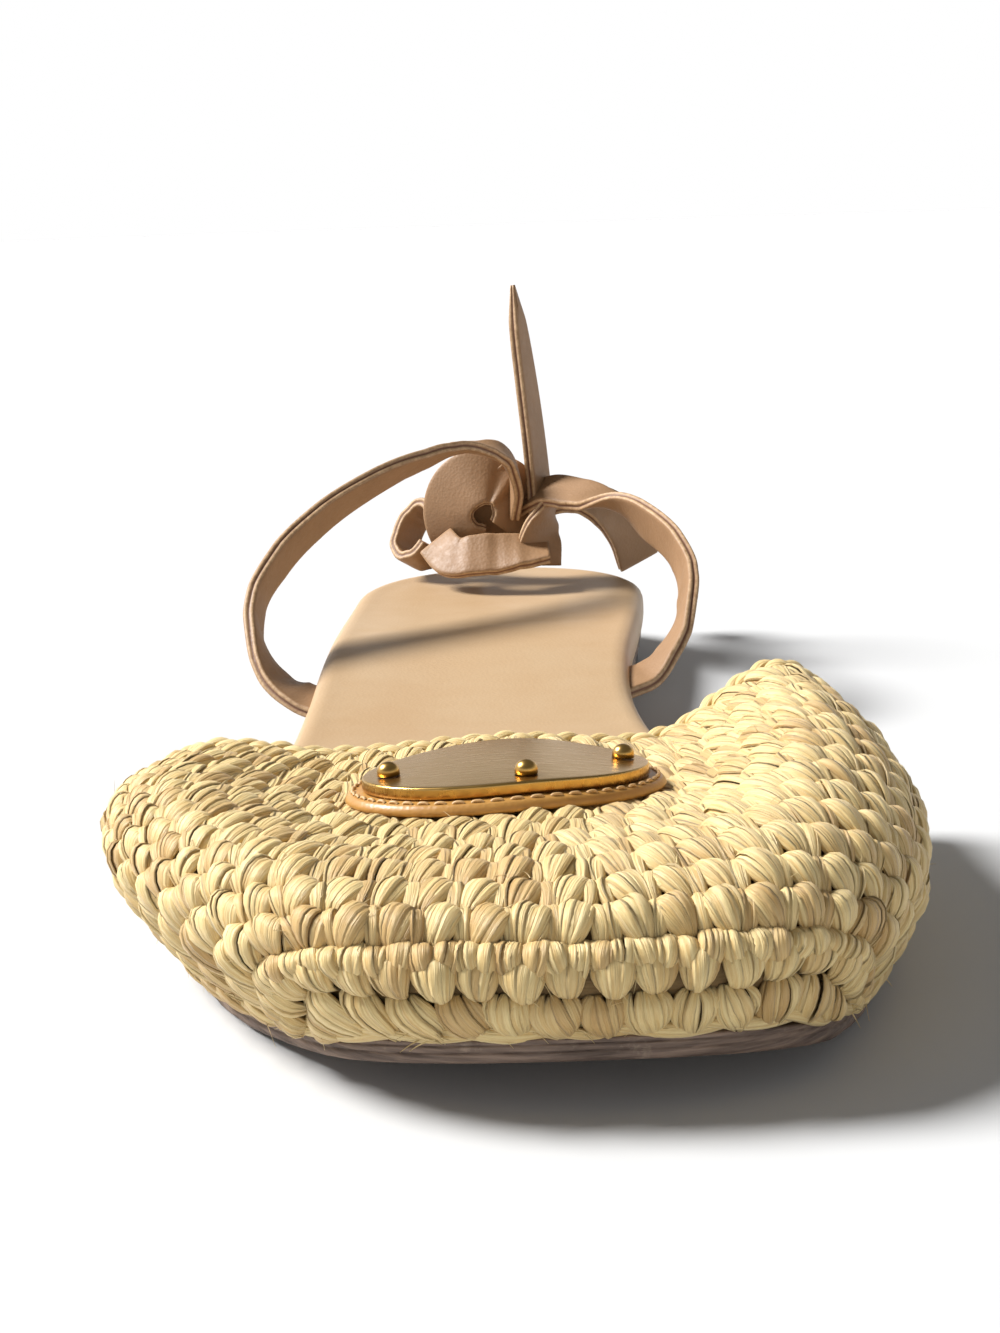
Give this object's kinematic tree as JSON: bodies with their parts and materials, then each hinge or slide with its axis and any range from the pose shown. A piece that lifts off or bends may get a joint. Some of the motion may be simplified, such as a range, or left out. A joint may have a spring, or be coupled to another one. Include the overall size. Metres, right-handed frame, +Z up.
{
  "type": "raffia sandal",
  "caption": "Flat women's sandal for the right foot with a closed toe of crocheted raffia, a gilt plate, a leather footbed and knotted leather ankle ties.",
  "frame": {"origin": "on the floor under the ball of the foot, 70 mm behind the toe end", "axes": "+Y from the toe to the heel, +X towards the big-toe side, +Z up"},
  "size_m": [0.1016, 0.2471, 0.0736],
  "materials": {
    "straw": "crocheted raffia, matt with a dry sheen",
    "tan_leather": "smooth tan leather, satin",
    "sole_leather": "brown sole leather with a worn edge",
    "heel_rubber": "dark matt rubber",
    "gilt_metal": "polished pale gilt"
  },
  "bodies": {
    "root": {"outsole": "sole_leather", "heel_lift": "heel_rubber", "insole": "tan_leather", "vamp": "straw", "throat_braid": "straw", "plate_backing": "tan_leather", "plate": "gilt_metal", "rivet_lateral": "gilt_metal", "rivet_medial": "gilt_metal", "rivet_front": "gilt_metal", "ankle_ties": "tan_leather"}
  },
  "joints": []
}
